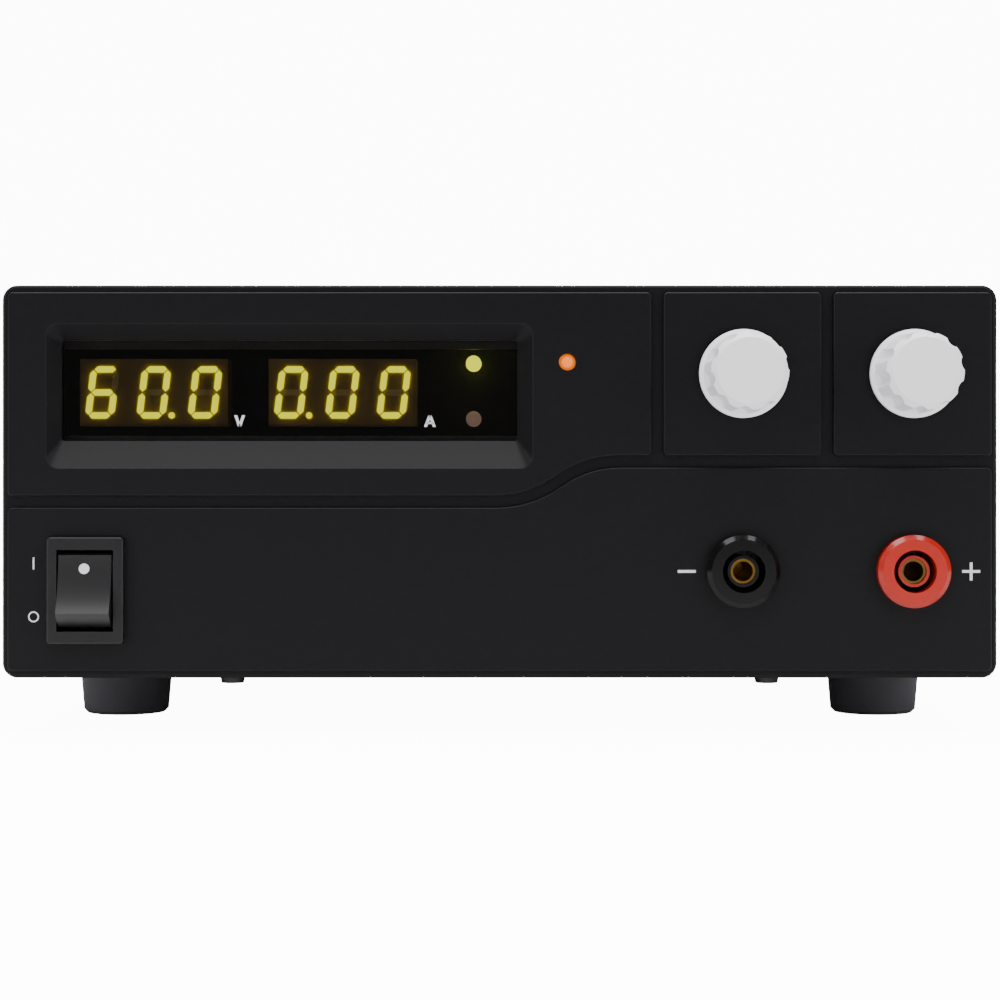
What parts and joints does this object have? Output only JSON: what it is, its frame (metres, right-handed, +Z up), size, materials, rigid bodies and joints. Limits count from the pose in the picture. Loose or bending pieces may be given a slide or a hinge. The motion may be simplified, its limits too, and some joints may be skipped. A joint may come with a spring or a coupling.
{
  "type": "bench power supply",
  "caption": "Compact bench power supply: digit displays behind a dark window, push-and-turn knobs, output sockets, a power rocker, and a rear fan, mains inlet and binding posts.",
  "frame": {"origin": "on the bench, under the middle of the whole object", "axes": "+Z up, -Y towards the user, +X to the user's right"},
  "size_m": [0.2, 0.215, 0.09],
  "materials": {
    "bezel_plastic": "satin moulded plastic, near black",
    "window_acrylic": "polished smoked acrylic",
    "case_paint": "fine textured powder coat, near black",
    "zinc_steel": "zinc plated steel",
    "foot_rubber": "matt black rubber",
    "knob_plastic": "satin light grey plastic",
    "shaft_metal": "turned aluminium",
    "switch_plastic": "lightly polished black plastic",
    "black_plastic": "moulded black plastic",
    "red_plastic": "polished red plastic",
    "plated_brass": "nickel plated brass",
    "module_plastic": "dark filter over the digits",
    "segment_light": "lit yellow-green segment",
    "lit_lamp": "lit yellow-green lamp",
    "dark_lamp": "unlit diffused lamp",
    "amber_lamp": "unlit amber lamp",
    "circuit_board": "green solder mask",
    "guard_chrome": "bright plated steel wire",
    "fuse_glass": "clear glass tube with plated caps",
    "sink_aluminium": "plain aluminium",
    "transformer_core": "dark core with a taped winding"
  },
  "bodies": {
    "case": {"front_bezel": "bezel_plastic", "display_window": "window_acrylic", "chassis": "case_paint", "top_cover": "case_paint", "sunk_screws": "case_paint", "front_plate": "zinc_steel", "case_screws": "zinc_steel", "foot_screws": "zinc_steel", "board_standoffs": "zinc_steel", "voltage_encoder": "zinc_steel", "current_encoder": "zinc_steel", "encoder_nuts": "zinc_steel", "terminal_nuts": "zinc_steel", "fan_screws": "zinc_steel", "control_socket": "zinc_steel", "foot_front_left": "foot_rubber", "foot_front_right": "foot_rubber", "foot_rear_left": "foot_rubber", "foot_rear_right": "foot_rubber", "power_switch_frame": "switch_plastic", "negative_socket": "black_plastic", "negative_post_base": "black_plastic", "fan_frame": "black_plastic", "mains_inlet": "black_plastic", "mode_switch": "black_plastic", "power_transistors": "black_plastic", "positive_socket": "red_plastic", "positive_post_base": "red_plastic", "negative_socket_contact": "plated_brass", "positive_socket_contact": "plated_brass", "negative_post_stud": "plated_brass", "positive_post_stud": "plated_brass", "inlet_pins": "plated_brass", "power_switch_terminals": "plated_brass", "digit_displays": "module_plastic", "lit_segments": "segment_light", "cv_lamp": "lit_lamp", "cc_lamp": "dark_lamp", "rear_control_lamp": "amber_lamp", "display_board": "circuit_board", "main_board": "circuit_board", "fan_guard": "guard_chrome", "heat_sinks": "sink_aluminium", "capacitors": "sink_aluminium", "transformer": "transformer_core"},
    "power_rocker": {"power_switch_rocker": "switch_plastic"},
    "voltage_push_body": {"voltage_plunger": "shaft_metal"},
    "voltage_control": {"voltage_knob": "knob_plastic", "voltage_shaft": "shaft_metal"},
    "current_push_body": {"current_plunger": "shaft_metal"},
    "current_control": {"current_knob": "knob_plastic", "current_shaft": "shaft_metal"},
    "fan": {"fan_rotor": "black_plastic"},
    "fuse_holder": {"fuse_drawer": "black_plastic", "mains_fuse": "fuse_glass"},
    "mode_selector": {"mode_slider": "black_plastic"},
    "negative_clamp": {"negative_post_collar": "black_plastic"},
    "negative_cap": {"negative_post_cap": "black_plastic"},
    "positive_clamp": {"positive_post_collar": "red_plastic"},
    "positive_cap": {"positive_post_cap": "red_plastic"}
  },
  "joints": [
    {"name": "voltage_push", "type": "slide", "parent": "case", "child": "voltage_push_body", "axis": [0, 1, 0], "range_m": [0, 0.0005], "stiffness_N_per_m": 600, "springref_m": -0.004},
    {"name": "voltage_turn", "type": "hinge", "parent": "voltage_push_body", "child": "voltage_control", "pos_m": [0.0487, -0.093, 0.07208], "axis": [0, 1, 0], "continuous": true},
    {"name": "current_push", "type": "slide", "parent": "case", "child": "current_push_body", "axis": [0, 1, 0], "range_m": [0, 0.0005], "stiffness_N_per_m": 600, "springref_m": -0.004},
    {"name": "current_turn", "type": "hinge", "parent": "current_push_body", "child": "current_control", "pos_m": [0.0828, -0.093, 0.07208], "axis": [0, 1, 0], "continuous": true},
    {"name": "power_rock", "type": "hinge", "parent": "case", "child": "power_rocker", "pos_m": [-0.0828, -0.0915, 0.0287], "axis": [1, 0, 0], "range_deg": [0, 32]},
    {"name": "fan_spin", "type": "hinge", "parent": "case", "child": "fan", "pos_m": [0.004, 0.0754, 0.05], "axis": [0, 1, 0], "continuous": true},
    {"name": "fuse_draw", "type": "slide", "parent": "case", "child": "fuse_holder", "axis": [0, 1, 0], "range_m": [0, 0.013]},
    {"name": "mode_slide", "type": "slide", "parent": "case", "child": "mode_selector", "axis": [1, 0, 0], "range_m": [-0.002, 0.002]},
    {"name": "negative_clamp_travel", "type": "slide", "parent": "case", "child": "negative_clamp", "axis": [0, 1, 0], "range_m": [0, 0.004]},
    {"name": "negative_cap_turn", "type": "hinge", "parent": "negative_clamp", "child": "negative_cap", "pos_m": [0.055, 0.1, 0.034], "axis": [0, 1, 0], "range_deg": [0, 1440]},
    {"name": "positive_clamp_travel", "type": "slide", "parent": "case", "child": "positive_clamp", "axis": [0, 1, 0], "range_m": [0, 0.004]},
    {"name": "positive_cap_turn", "type": "hinge", "parent": "positive_clamp", "child": "positive_cap", "pos_m": [0.083, 0.1, 0.034], "axis": [0, 1, 0], "range_deg": [0, 1440]}
  ],
  "couplings": [
    {"joint": "negative_cap_turn", "follows": "negative_clamp_travel", "rad_per_m": 6283.2},
    {"joint": "positive_cap_turn", "follows": "positive_clamp_travel", "rad_per_m": 6283.2}
  ]
}
